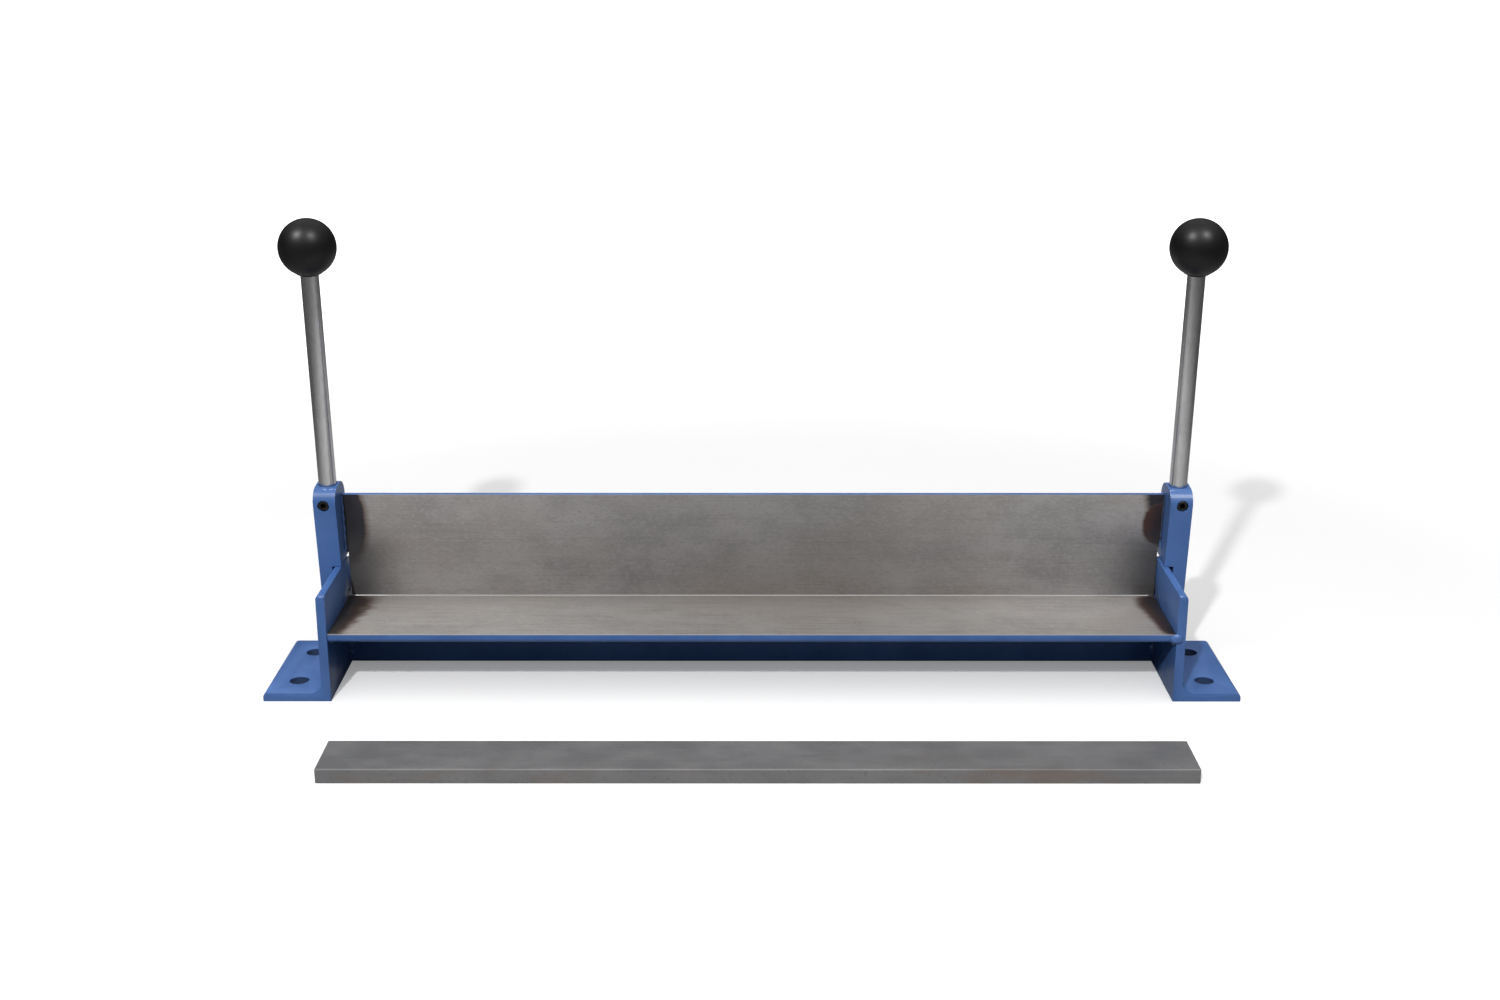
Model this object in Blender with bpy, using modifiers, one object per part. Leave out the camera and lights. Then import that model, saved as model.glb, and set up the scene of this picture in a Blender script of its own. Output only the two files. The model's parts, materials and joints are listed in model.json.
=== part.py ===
"""Bench-top sheet metal brake, 450 mm class.

A bed cut from unequal steel angle is welded between two end brackets of the same angle. A bending
leaf, again of that angle, turns along the bed's back top edge on two pivot screws, and is
worked by two levers with ball knobs. A loose flat bar clamps the sheet to the bed.

Metres. +X is to the operator's right, +Y away from the operator and +Z up. The origin is under the
middle of the object's bounding box, on the surface it stands on. The leaf is at its raised stop.
"""

import math

import bmesh
import bpy

GAP = 0.0003  # left between neighbouring pieces
CUT_MARGIN = 0.004  # how far a cutter runs past the surface it cuts

# The unequal angle that the bed, the leaf and the end brackets are cut from.
ANGLE_LONG_LEG = 0.063
ANGLE_SHORT_LEG = 0.040
ANGLE_THICKNESS = 0.005
ANGLE_ROOT_RADIUS = 0.0065
ANGLE_TOE_RADIUS = 0.0025
ARC_STEPS = 5  # segments in a quarter turn of a small radius
ROUND_STEPS = 12  # segments in one of the larger arcs round a lever arm

# End brackets.
HALF_SPAN = 0.2355  # from the middle to the inner face of an end bracket
BRACKET_FRONT_Y = 0.0012
BRACKET_LENGTH = 0.080
BRACKET_FOOT_WIDTH = 0.038
BRACKET_REAR_ARC = 0.023  # the rear top corner is cut to this radius about the hinge
BRACKET_REAR_ARC_OVERRUN = 6  # degrees that the arc's cutter runs past the bracket's rear edge
BRACKET_FRONT_ROUND = 0.002
BOLT_HOLE_RADIUS = 0.0055
BOLT_HOLE_END_INSET = 0.0185  # from the foot's front or rear end to a hole's centre
BOLT_HOLE_SIDE_INSET = 0.0165  # from the foot's outer edge to a hole's centre

# The hinge line is the back top edge of the bed.
HINGE_Y = BRACKET_FRONT_Y + ANGLE_LONG_LEG
HINGE_Z = ANGLE_SHORT_LEG
LEAF_LEAN = math.radians(4.25)  # past upright, towards the operator, at the raised stop

# Bending leaf, in the leaf's own frame: y towards its back, z up from the hinge.
LEAF_SIDE_PLAY = 0.0006  # how far the leaf stands to the right, within its play on the pivots
LEAF_SHORT_LEG = 0.0395
LEAF_HALF_LENGTH = 0.2359
LEAF_RELIEF_X = 0.2344  # half-length where the leaf passes the end brackets
LEAF_RELIEF_Z = {"left": 0.0275, "right": 0.0305}

# Lever arms.
ARM_THICKNESS = 0.0127
ARM_INNER_X = LEAF_HALF_LENGTH + GAP
ARM_MIDDLE_X = ARM_INNER_X + ARM_THICKNESS / 2
ARM_OUTER_X = ARM_INNER_X + ARM_THICKNESS
ARM_LAP_X = HALF_SPAN + ANGLE_THICKNESS + GAP + LEAF_SIDE_PLAY  # inner face of the lower end
ARM_PIVOT_RADIUS = 0.0125
ARM_FRONT_Y = -0.0155
ARM_BACK_Y = 0.011
ARM_TOP_Z = {"left": 0.0709, "right": 0.0701}
ARM_FRONT_CORNER = 0.008  # radii of the top end's corners
ARM_BACK_CORNER = 0.011
ARM_EDGE_BEVEL = 0.0008

# Levers and knobs.
ROD_RADIUS = 0.005
ROD_Y = (ARM_FRONT_Y + ARM_BACK_Y) / 2
ROD_BOTTOM_Z = 0.052
ROD_CHAMFER = 0.0006
ROD_SPIGOT_RADIUS = 0.004
ROD_SPIGOT_LENGTH = 0.011
KNOB_RADIUS = 0.016
KNOB_CENTRE_Z = 0.2088
KNOB_FLAT_RADIUS = 0.0066
KNOB_STEPS = 18  # segments from the top of a knob to its flat
INSERT_RADIUS = 0.0056
INSERT_LENGTH = 0.012
INSERT_WAIST_LENGTH = 0.0036
INSERT_WAIST_DEPTH = 0.0006
SET_SCREW_RADIUS = 0.003
SET_SCREW_Z = 0.0622
SET_SCREW_OFFSET = 0.0006  # outwards from the rod's centre line
SET_SCREW_RECESS = 0.0006
SET_SCREW_SOCKET_RADIUS = 0.00173  # to the corners of a 3 mm hexagon
SET_SCREW_SOCKET_DEPTH = 0.0032

# Pivot screws, their countersunk heads just under the arms' outer faces.
PIVOT_RADIUS = 0.004
PIVOT_HEAD_RADIUS = 0.008
PIVOT_HEAD_LAND = 0.0004
PIVOT_SOCKET_RADIUS = 0.00289  # to the corners of a 5 mm hexagon
PIVOT_SOCKET_DEPTH = 0.003

# Weld beads.
BED_WELD_RADIUS = 0.0036
BED_WELD_SETBACK = 0.004  # from the bed's front edge
BED_TACK_SETBACK = 0.0018  # the tack at the right front corner stands out of the front edge
BED_TACK_DROP = 0.0017  # from the bed's top to the tack's centre
LEAF_WELD_RADIUS = 0.0012
LEAF_WELD_TOP_Z = 0.0625
LEAF_BACK_WELD_RADIUS = 0.0036

# Clamping bar.
BAR_LENGTH = 0.450
BAR_WIDTH = 0.035
BAR_THICKNESS = 0.008
BAR_OFFSET_X = 0.003
BAR_FRONT_Y = -0.1036
BAR_BEVEL = 0.0005

TURNED_STEPS = 32
MERGE_DISTANCE = 1e-6
SIDES = {"left": -1, "right": 1}

# Object rotations that stand an outline drawn in x and y on the plane of its name.
ACROSS_X = (math.pi / 2, 0, math.pi / 2)  # outline in Y and Z, thickness along X
ACROSS_Y = (math.pi / 2, 0, 0)  # outline in X and Z, thickness along Y
ACROSS_Z = (0, 0, 0)  # outline in X and Y, thickness along Z

BLUE_PAINT = ((0.065, 0.135, 0.36), 0.38, 0.0)
GROUND_STEEL = ((0.30, 0.29, 0.28), 0.42, 1.0)
BRIGHT_STEEL = ((0.52, 0.51, 0.50), 0.25, 1.0)
MILL_STEEL = ((0.20, 0.19, 0.18), 0.55, 1.0)
BLACK_OXIDE = ((0.02, 0.02, 0.02), 0.45, 0.6)
BLACK_PLASTIC = ((0.012, 0.012, 0.013), 0.35, 0.0)
BRASS = ((0.62, 0.44, 0.17), 0.35, 1.0)


# ---- scene and helpers -------------------------------------------------------------------------


def clear_scene():
    for obj in list(bpy.data.objects):
        bpy.data.objects.remove(obj, do_unlink=True)


def new_collection(name, hidden=False):
    collection = bpy.data.collections.new(name)
    bpy.context.scene.collection.children.link(collection)
    collection.hide_render = hidden
    return collection


def set_finish(obj, finish):
    colour, roughness, metallic = finish
    material = bpy.data.materials.new(obj.name)
    material.use_nodes = True
    shader = material.node_tree.nodes["Principled BSDF"]
    shader.inputs["Base Color"].default_value = (*colour, 1)
    shader.inputs["Roughness"].default_value = roughness
    shader.inputs["Metallic"].default_value = metallic
    obj.data.materials.clear()
    obj.data.materials.append(material)


def add_part(obj, finish, parent=None):
    """Puts an object in the brake's collection, with its finish and its moving parent."""
    PARTS.objects.link(obj)
    obj.parent = parent
    set_finish(obj, finish)
    return obj


def add_cutter(obj, parent=None):
    CUTTERS.objects.link(obj)
    obj.parent = parent
    obj.hide_render = True
    obj.display_type = "WIRE"
    return obj


def cut(target, cutter):
    modifier = target.modifiers.new(cutter.name, "BOOLEAN")
    modifier.operation = "DIFFERENCE"
    modifier.object = cutter


def bevel(target, width, segments=2, angle=math.radians(40)):
    modifier = target.modifiers.new("edge_break", "BEVEL")
    modifier.width = width
    modifier.segments = segments
    modifier.limit_method = "ANGLE"
    modifier.angle_limit = angle


def shade_round(obj, angle=math.radians(35)):
    obj.data.shade_smooth()
    obj.data.set_sharp_from_angle(angle=angle)


def mesh_object(name, fill):
    """A new object whose mesh is made by fill, which works on a bmesh."""
    mesh = bpy.data.meshes.new(name)
    work = bmesh.new()
    fill(work)
    work.to_mesh(mesh)
    work.free()
    return bpy.data.objects.new(name, mesh)


def clean(work):
    bmesh.ops.remove_doubles(work, verts=work.verts, dist=MERGE_DISTANCE)
    bmesh.ops.recalc_face_normals(work, faces=work.faces)


def from_curve(curve, name):
    """The closed mesh object of a curve, with its loose caps welded on."""
    source = bpy.data.objects.new(name + "_curve", curve)
    bpy.context.scene.collection.objects.link(source)
    graph = bpy.context.evaluated_depsgraph_get()
    mesh = bpy.data.meshes.new_from_object(source.evaluated_get(graph))
    bpy.data.objects.remove(source, do_unlink=True)
    mesh.name = name
    work = bmesh.new()
    work.from_mesh(mesh)
    clean(work)
    work.to_mesh(mesh)
    work.free()
    return bpy.data.objects.new(name, mesh)


def poly_spline(curve, points, closed):
    spline = curve.splines.new("POLY")
    spline.points.add(len(points) - 1)
    for point, place in zip(spline.points, points):
        point.co = (*place, 1)
    spline.use_cyclic_u = closed


def plate(name, outline, thickness, stand, location):
    """A flat outline of (x, y) points with an even thickness, stood on one of the planes above."""
    curve = bpy.data.curves.new(name, "CURVE")
    curve.dimensions = "2D"
    curve.fill_mode = "BOTH"
    curve.extrude = thickness / 2
    poly_spline(curve, [(x, y, 0) for x, y in outline], closed=True)
    obj = from_curve(curve, name)
    obj.rotation_euler = stand
    obj.location = location
    return obj


def tube(name, path, radius):
    """A round bar along a path of (x, y, z) points."""
    curve = bpy.data.curves.new(name, "CURVE")
    curve.dimensions = "3D"
    curve.bevel_depth = radius
    curve.bevel_resolution = 2
    curve.use_fill_caps = True
    poly_spline(curve, path, closed=False)
    return from_curve(curve, name)


def turned(name, profile, steps=TURNED_STEPS):
    """A profile of (radius, z) points, top to bottom down its outer side, turned about z."""

    def fill(work):
        vertices = [work.verts.new((radius, 0, z)) for radius, z in profile]
        for first, second in zip(vertices, vertices[1:]):
            work.edges.new((first, second))
        bmesh.ops.remove_doubles(work, verts=work.verts, dist=MERGE_DISTANCE)

    obj = mesh_object(name, fill)
    screw = obj.modifiers.new("turn", "SCREW")
    screw.angle = math.tau
    screw.steps = steps
    screw.render_steps = steps
    screw.use_merge_vertices = True
    screw.merge_threshold = MERGE_DISTANCE
    screw.use_smooth_shade = True
    return obj


def cylinder(name, radius, length, segments=TURNED_STEPS):
    def fill(work):
        bmesh.ops.create_cone(
            work, cap_ends=True, segments=segments, radius1=radius, radius2=radius, depth=length
        )

    return mesh_object(name, fill)


def box(name, low, high):
    """A box between two corners, with its origin in its middle."""

    def fill(work):
        bmesh.ops.create_cube(work, size=1)
        bmesh.ops.scale(work, verts=work.verts, vec=[b - a for a, b in zip(low, high)])

    obj = mesh_object(name, fill)
    obj.location = [(a + b) / 2 for a, b in zip(low, high)]
    return obj


def arc(centre, radius, start, end, steps=ARC_STEPS):
    """Points (x, y) along an arc, with its start and end angles in degrees."""
    angles = [math.radians(start + (end - start) * step / steps) for step in range(steps + 1)]
    return [(centre[0] + radius * math.cos(a), centre[1] + radius * math.sin(a)) for a in angles]


def angle_outline(long_leg, short_leg, grow=0.0):
    """Section of the steel angle: heel at (0, 0), long leg along +x and short leg along +y."""
    inner = ANGLE_THICKNESS + grow
    toe = ANGLE_TOE_RADIUS
    root = inner + ANGLE_ROOT_RADIUS - grow
    outline = [(-grow, -grow), (long_leg + grow, -grow)]
    outline += arc((long_leg + grow - toe, inner - toe), toe, 0, 90)
    outline += arc((root, root), root - inner, 270, 180)
    outline += arc((inner - toe, short_leg + grow - toe), toe, 0, 90)
    outline += [(-grow, short_leg + grow)]
    return outline


def belt_outline(circles):
    """The outline of a belt round circles of ((x, y), radius), listed anticlockwise."""
    normals = []
    for (start, start_radius), (end, end_radius) in zip(circles, circles[1:] + circles[:1]):
        run = (end[0] - start[0], end[1] - start[1])
        taper = math.asin((start_radius - end_radius) / math.hypot(*run))
        normals.append(math.degrees(math.atan2(run[1], run[0]) + taper) - 90)
    outline = []
    for (centre, radius), before, after in zip(circles, normals[-1:] + normals, normals):
        turn = (after - before) % 360
        outline += arc(centre, radius, before, before + turn, ROUND_STEPS)
    return outline


# ---- frame -------------------------------------------------------------------------------------


def make_bed():
    """The bed's long leg is its top; the short leg stands down at the back."""
    outline = [(-x, -y) for x, y in angle_outline(ANGLE_LONG_LEG, ANGLE_SHORT_LEG)]
    length = 2 * (HALF_SPAN - GAP)
    bed = plate("bed_angle", outline, length, ACROSS_X, (0, HINGE_Y, HINGE_Z))
    shade_round(bed)
    return add_part(bed, GROUND_STEEL)


def rear_corner_cutter(name, middle_x):
    """What is cut from a bracket's rear top corner, outside an arc about the hinge."""
    low_angle = math.degrees(math.acos((BRACKET_LENGTH - ANGLE_LONG_LEG) / BRACKET_REAR_ARC))
    rear = BRACKET_REAR_ARC + CUT_MARGIN
    end_angle = low_angle - BRACKET_REAR_ARC_OVERRUN
    outline = arc((0, 0), BRACKET_REAR_ARC, 90, end_angle, ROUND_STEPS)
    outline += [(rear, outline[-1][1]), (rear, rear), (0, rear)]
    width = ANGLE_THICKNESS + 2 * CUT_MARGIN
    cutter = plate(name, outline, width, ACROSS_X, (middle_x, HINGE_Y, HINGE_Z))
    return add_cutter(cutter)


def front_corner_cutter(name, middle_x):
    """What is cut from a bracket's front top corner to round it."""
    radius = BRACKET_FRONT_ROUND
    outline = arc((radius, -radius), radius, 90, 180)
    outline += [(-CUT_MARGIN, -radius), (-CUT_MARGIN, CUT_MARGIN), (radius, CUT_MARGIN)]
    width = ANGLE_THICKNESS + 2 * CUT_MARGIN
    place = (middle_x, BRACKET_FRONT_Y, ANGLE_LONG_LEG)
    return add_cutter(plate(name, outline, width, ACROSS_X, place))


def make_bracket(side, suffix):
    """The long leg stands up as the end plate, the short leg runs outwards as the foot."""
    name = "end_bracket_" + suffix
    section = angle_outline(ANGLE_LONG_LEG, BRACKET_FOOT_WIDTH)
    outline = [(side * y, x) for x, y in section]
    place = (side * HALF_SPAN, BRACKET_FRONT_Y + BRACKET_LENGTH / 2, 0)
    bracket = plate(name, outline, BRACKET_LENGTH, ACROSS_Y, place)
    middle_x = side * (HALF_SPAN + ANGLE_THICKNESS / 2)
    cut(bracket, rear_corner_cutter("rear_corner_" + suffix, middle_x))
    cut(bracket, front_corner_cutter("front_corner_" + suffix, middle_x))
    pivot_hole = cylinder("pivot_hole_" + suffix, PIVOT_RADIUS + GAP, ANGLE_THICKNESS + 2 * CUT_MARGIN)
    pivot_hole.rotation_euler = (0, math.pi / 2, 0)
    pivot_hole.location = (middle_x, HINGE_Y, HINGE_Z)
    cut(bracket, add_cutter(pivot_hole))
    hole_x = side * (HALF_SPAN + BRACKET_FOOT_WIDTH - BOLT_HOLE_SIDE_INSET)
    insets = {"front": BOLT_HOLE_END_INSET, "rear": BRACKET_LENGTH - BOLT_HOLE_END_INSET}
    for end, inset in insets.items():
        depth = ANGLE_THICKNESS + 2 * CUT_MARGIN
        hole = cylinder(f"foot_hole_{end}_{suffix}", BOLT_HOLE_RADIUS, depth)
        hole.location = (hole_x, BRACKET_FRONT_Y + inset, ANGLE_THICKNESS / 2)
        cut(bracket, add_cutter(hole))
    shade_round(bracket)
    return add_part(bracket, BLUE_PAINT)


def bed_weld_path(side, suffix):
    """Along the bracket in the corner under the bed, then down the front of the bed's back leg."""
    x = side * (HALF_SPAN - GAP)
    inner = ANGLE_THICKNESS + GAP
    setback = BED_TACK_SETBACK if suffix == "right" else BED_WELD_SETBACK
    front = (x, BRACKET_FRONT_Y + setback, HINGE_Z - inner)
    turn = (HINGE_Y - inner - ANGLE_ROOT_RADIUS, HINGE_Z - inner - ANGLE_ROOT_RADIUS)
    corner = [(x, y, z) for y, z in arc(turn, ANGLE_ROOT_RADIUS, 90, 0)]
    foot = (x, HINGE_Y - inner, ANGLE_THICKNESS)
    path = [front, *corner, foot]
    if suffix == "right":
        tack = (x, BRACKET_FRONT_Y + setback, HINGE_Z - BED_TACK_DROP)
        path.insert(0, tack)
    return path


def make_bed_weld(side, suffix):
    name = "bed_weld_" + suffix
    weld = tube(name, bed_weld_path(side, suffix), BED_WELD_RADIUS)
    grown = angle_outline(ANGLE_LONG_LEG, ANGLE_SHORT_LEG, GAP)
    outline = [(-x, -y) for x, y in grown]
    bed_place = (side * HALF_SPAN, HINGE_Y, HINGE_Z)
    bed_room = plate("bed_room_" + suffix, outline, 4 * BED_WELD_RADIUS, ACROSS_X, bed_place)
    cut(weld, add_cutter(bed_room))
    inner = HALF_SPAN - GAP
    outer = HALF_SPAN + 2 * BED_WELD_RADIUS
    low = (min(side * inner, side * outer), BRACKET_FRONT_Y - GAP, -CUT_MARGIN)
    high = (max(side * inner, side * outer), HINGE_Y + CUT_MARGIN, HINGE_Z + CUT_MARGIN)
    cut(weld, add_cutter(box("bracket_room_" + suffix, low, high)))
    shade_round(weld)
    return add_part(weld, BLUE_PAINT)


# ---- pivots ------------------------------------------------------------------------------------


def pivot_profile(length, grow=0.0):
    """Half section of a countersunk screw, from the top of its head down to its tip at z = 0."""
    cone_top = length - PIVOT_HEAD_LAND
    cone_bottom = cone_top - (PIVOT_HEAD_RADIUS - PIVOT_RADIUS)
    return [
        (0, length),
        (PIVOT_HEAD_RADIUS + grow, length),
        (PIVOT_HEAD_RADIUS + grow, cone_top - grow),
        (PIVOT_RADIUS + grow, cone_bottom - grow),
        (PIVOT_RADIUS + grow, 0),
        (0, 0),
    ]


def pivot_length():
    """From the inner face of the left end bracket to just under the left arm's outer face."""
    return ARM_OUTER_X - LEAF_SIDE_PLAY - GAP - HALF_SPAN


def make_pivot(side, suffix):
    """The screw that an arm turns on; its thread is in the end bracket."""
    screw = turned("pivot_screw_" + suffix, pivot_profile(pivot_length()))
    head_x = side * (ARM_OUTER_X - GAP) + LEAF_SIDE_PLAY
    screw.rotation_euler = (0, side * math.pi / 2, 0)
    screw.location = (head_x - side * pivot_length(), HINGE_Y, HINGE_Z)
    name = "pivot_socket_" + suffix
    socket = cylinder(name, PIVOT_SOCKET_RADIUS, 2 * PIVOT_SOCKET_DEPTH, segments=6)
    socket.rotation_euler = screw.rotation_euler
    socket.location = (head_x, HINGE_Y, HINGE_Z)
    cut(screw, add_cutter(socket))
    return add_part(screw, BLACK_OXIDE)


# ---- bending leaf ------------------------------------------------------------------------------


def make_leaf_pivot():
    """Everything that swings hangs on this empty, whose x axis is the hinge."""
    pivot = bpy.data.objects.new("leaf_pivot", None)
    PARTS.objects.link(pivot)
    pivot.location = (LEAF_SIDE_PLAY, HINGE_Y, HINGE_Z)
    pivot.rotation_euler = (LEAF_LEAN, 0, 0)
    return pivot


def make_leaf(pivot):
    """The face leg rises from the hinge, the short leg runs back to stiffen it."""
    outline = [(y, x + GAP) for x, y in angle_outline(ANGLE_LONG_LEG, LEAF_SHORT_LEG)]
    leaf = plate("leaf_angle", outline, 2 * LEAF_HALF_LENGTH, ACROSS_X, (0, 0, 0))
    for suffix, side in SIDES.items():
        ends = sorted((side * LEAF_RELIEF_X, side * (LEAF_HALF_LENGTH + CUT_MARGIN)))
        low = (ends[0], -CUT_MARGIN, -CUT_MARGIN)
        high = (ends[1], LEAF_SHORT_LEG + CUT_MARGIN, LEAF_RELIEF_Z[suffix])
        cut(leaf, add_cutter(box("leaf_relief_" + suffix, low, high), pivot))
    shade_round(leaf)
    return add_part(leaf, GROUND_STEEL, pivot)


def shoulder_height():
    """Height above the hinge, along the arm, of the shoulder that meets the bracket's top edge."""
    front = (ARM_FRONT_Y - ARM_PIVOT_RADIUS) / 2
    top_edge = ANGLE_LONG_LEG - HINGE_Z + GAP
    return (top_edge - front * math.sin(LEAF_LEAN)) / math.cos(LEAF_LEAN)


def set_screw_x(side):
    return side * (ARM_MIDDLE_X + SET_SCREW_OFFSET)


def arm_outline(top):
    """An arm in (y, z): round about the pivot, with two rounded corners at its top end."""
    back = (ARM_BACK_Y - ARM_BACK_CORNER, top - ARM_BACK_CORNER)
    front = (ARM_FRONT_Y + ARM_FRONT_CORNER, top - ARM_FRONT_CORNER)
    circles = [((0, 0), ARM_PIVOT_RADIUS), (back, ARM_BACK_CORNER), (front, ARM_FRONT_CORNER)]
    return belt_outline(circles)


def make_arm(side, suffix, pivot):
    top = ARM_TOP_Z[suffix]
    place = (side * ARM_MIDDLE_X, 0, 0)
    arm = plate("arm_" + suffix, arm_outline(top), ARM_THICKNESS, ACROSS_X, place)
    bevel(arm, ARM_EDGE_BEVEL)

    reach = 2 * ARM_PIVOT_RADIUS
    steps = sorted((side * ARM_LAP_X, side * (ARM_INNER_X - CUT_MARGIN)))
    lap = box("arm_lap_" + suffix, (steps[0], -reach, -reach), (steps[1], reach, shoulder_height()))
    cut(arm, add_cutter(lap, pivot))

    depth = ARM_THICKNESS + CUT_MARGIN
    bore_profile = pivot_profile(depth - CUT_MARGIN / 2, GAP)
    bore_profile[:2] = [(0, depth), (PIVOT_HEAD_RADIUS + GAP, depth)]
    bore = turned("arm_bore_" + suffix, bore_profile)
    bore.rotation_euler = (0, side * math.pi / 2, 0)
    bore.location = (side * (ARM_INNER_X - CUT_MARGIN / 2), 0, 0)
    cut(arm, add_cutter(bore, pivot))

    mouth = top + CUT_MARGIN
    floor = ROD_BOTTOM_Z - GAP
    socket = cylinder("rod_socket_" + suffix, ROD_RADIUS + GAP, mouth - floor)
    socket.location = (place[0], ROD_Y, (mouth + floor) / 2)
    cut(arm, add_cutter(socket, pivot))

    front = ARM_FRONT_Y - CUT_MARGIN
    screw_hole = cylinder("screw_hole_" + suffix, SET_SCREW_RADIUS + GAP, ROD_Y - front)
    screw_hole.rotation_euler = (math.pi / 2, 0, 0)
    screw_hole.location = (set_screw_x(side), (ROD_Y + front) / 2, SET_SCREW_Z)
    cut(arm, add_cutter(screw_hole, pivot))
    shade_round(arm)
    return add_part(arm, BLUE_PAINT, pivot)


def quarter_bead(name, corner, radius, inwards, backwards, low, high, pivot):
    """A bead that fills a corner seen along the leaf's z: inwards and backwards are +1 or -1."""
    outline = [(inwards * x, backwards * y) for x, y in [(0, 0)] + arc((0, 0), radius, 0, 90)]
    place = (corner[0], corner[1], (low + high) / 2)
    bead = plate(name, outline, high - low, ACROSS_Z, place)
    shade_round(bead)
    return add_part(bead, BLUE_PAINT, pivot)


def make_leaf_welds(side, suffix, pivot):
    corner_x = side * LEAF_HALF_LENGTH
    quarter_bead(
        "leaf_weld_" + suffix,
        (corner_x, -GAP),
        LEAF_WELD_RADIUS,
        -side,
        -1,
        LEAF_RELIEF_Z[suffix],
        LEAF_WELD_TOP_Z,
        pivot,
    )
    quarter_bead(
        "leaf_back_weld_" + suffix,
        (corner_x, ANGLE_THICKNESS + GAP),
        LEAF_BACK_WELD_RADIUS,
        -side,
        1,
        LEAF_RELIEF_Z[suffix],
        ANGLE_LONG_LEG - ANGLE_TOE_RADIUS,
        pivot,
    )


# ---- levers ------------------------------------------------------------------------------------


def knob_flat_z():
    """Height of the flat under a knob, where the rod's shoulder meets it."""
    return KNOB_CENTRE_Z - math.sqrt(KNOB_RADIUS**2 - KNOB_FLAT_RADIUS**2)


def make_rod(side, suffix, pivot):
    shoulder = knob_flat_z() - GAP - ROD_BOTTOM_Z
    top = shoulder + ROD_SPIGOT_LENGTH
    profile = [
        (0, top),
        (ROD_SPIGOT_RADIUS - ROD_CHAMFER, top),
        (ROD_SPIGOT_RADIUS, top - ROD_CHAMFER),
        (ROD_SPIGOT_RADIUS, shoulder),
        (ROD_RADIUS - ROD_CHAMFER, shoulder),
        (ROD_RADIUS, shoulder - ROD_CHAMFER),
        (ROD_RADIUS, ROD_CHAMFER),
        (ROD_RADIUS - ROD_CHAMFER, 0),
        (0, 0),
    ]
    rod = turned("lever_rod_" + suffix, profile)
    rod.location = (side * ARM_MIDDLE_X, ROD_Y, ROD_BOTTOM_Z)
    return add_part(rod, BRIGHT_STEEL, pivot)


def make_knob(side, suffix, pivot):
    """A ball with a flat underneath, and a blind hole in it for the threaded insert."""
    flat = knob_flat_z() - KNOB_CENTRE_Z
    hole = INSERT_RADIUS + GAP
    hole_top = flat + INSERT_LENGTH + 2 * GAP
    last = math.degrees(math.asin(flat / KNOB_RADIUS))
    profile = arc((0, 0), KNOB_RADIUS, 90, last, KNOB_STEPS)
    profile += [(hole, flat), (hole, hole_top), (0, hole_top)]
    knob = turned("ball_knob_" + suffix, profile)
    knob.location = (side * ARM_MIDDLE_X, ROD_Y, KNOB_CENTRE_Z)
    return add_part(knob, BLACK_PLASTIC, pivot)


def make_insert(side, suffix, pivot):
    """A brass bush with a waist that keys it into the plastic, and the bore for the rod's end."""
    bore = ROD_SPIGOT_RADIUS + GAP
    waist = INSERT_RADIUS - INSERT_WAIST_DEPTH
    low = (INSERT_LENGTH - INSERT_WAIST_LENGTH) / 2
    high = low + INSERT_WAIST_LENGTH
    profile = [
        (INSERT_RADIUS, INSERT_LENGTH),
        (INSERT_RADIUS, high),
        (waist, high - INSERT_WAIST_DEPTH),
        (waist, low + INSERT_WAIST_DEPTH),
        (INSERT_RADIUS, low),
        (INSERT_RADIUS, 0),
        (bore, 0),
        (bore, INSERT_LENGTH),
        (INSERT_RADIUS, INSERT_LENGTH),
    ]
    insert = turned("knob_insert_" + suffix, profile)
    insert.location = (side * ARM_MIDDLE_X, ROD_Y, knob_flat_z() + GAP)
    return add_part(insert, BRASS, pivot)


def make_set_screw(side, suffix, pivot):
    """A hex socket screw in the front of the arm, its tip at the rod."""
    tip_y = ROD_Y - ROD_RADIUS - GAP
    face_y = ARM_FRONT_Y + SET_SCREW_RECESS
    length = tip_y - face_y
    inner = SET_SCREW_RADIUS - ROD_CHAMFER
    profile = [
        (0, length),
        (inner, length),
        (SET_SCREW_RADIUS, length - ROD_CHAMFER),
        (SET_SCREW_RADIUS, ROD_CHAMFER),
        (inner, 0),
        (0, 0),
    ]
    screw = turned("rod_set_screw_" + suffix, profile)
    screw.rotation_euler = (math.pi / 2, 0, 0)
    screw.location = (set_screw_x(side), tip_y, SET_SCREW_Z)
    name = "screw_socket_" + suffix
    socket = cylinder(name, SET_SCREW_SOCKET_RADIUS, 2 * SET_SCREW_SOCKET_DEPTH, segments=6)
    socket.rotation_euler = screw.rotation_euler
    socket.location = (set_screw_x(side), face_y, SET_SCREW_Z)
    cut(screw, add_cutter(socket, pivot))
    return add_part(screw, BLACK_OXIDE, pivot)


# ---- clamping bar ------------------------------------------------------------------------------


def make_clamping_bar():
    """A flat bar, lying in front of the feet when it isn't on the bed."""
    middle = (BAR_OFFSET_X, BAR_FRONT_Y + BAR_WIDTH / 2, BAR_THICKNESS / 2)
    half = (BAR_LENGTH / 2, BAR_WIDTH / 2, BAR_THICKNESS / 2)
    low = [m - h for m, h in zip(middle, half)]
    high = [m + h for m, h in zip(middle, half)]
    bar = box("clamping_bar", low, high)
    bevel(bar, BAR_BEVEL)
    return add_part(bar, MILL_STEEL)


def make_brake():
    make_bed()
    pivot = make_leaf_pivot()
    make_leaf(pivot)
    for suffix, side in SIDES.items():
        make_bracket(side, suffix)
        make_bed_weld(side, suffix)
        make_pivot(side, suffix)
        make_arm(side, suffix, pivot)
        make_leaf_welds(side, suffix, pivot)
        make_rod(side, suffix, pivot)
        make_knob(side, suffix, pivot)
        make_insert(side, suffix, pivot)
        make_set_screw(side, suffix, pivot)
    make_clamping_bar()


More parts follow.
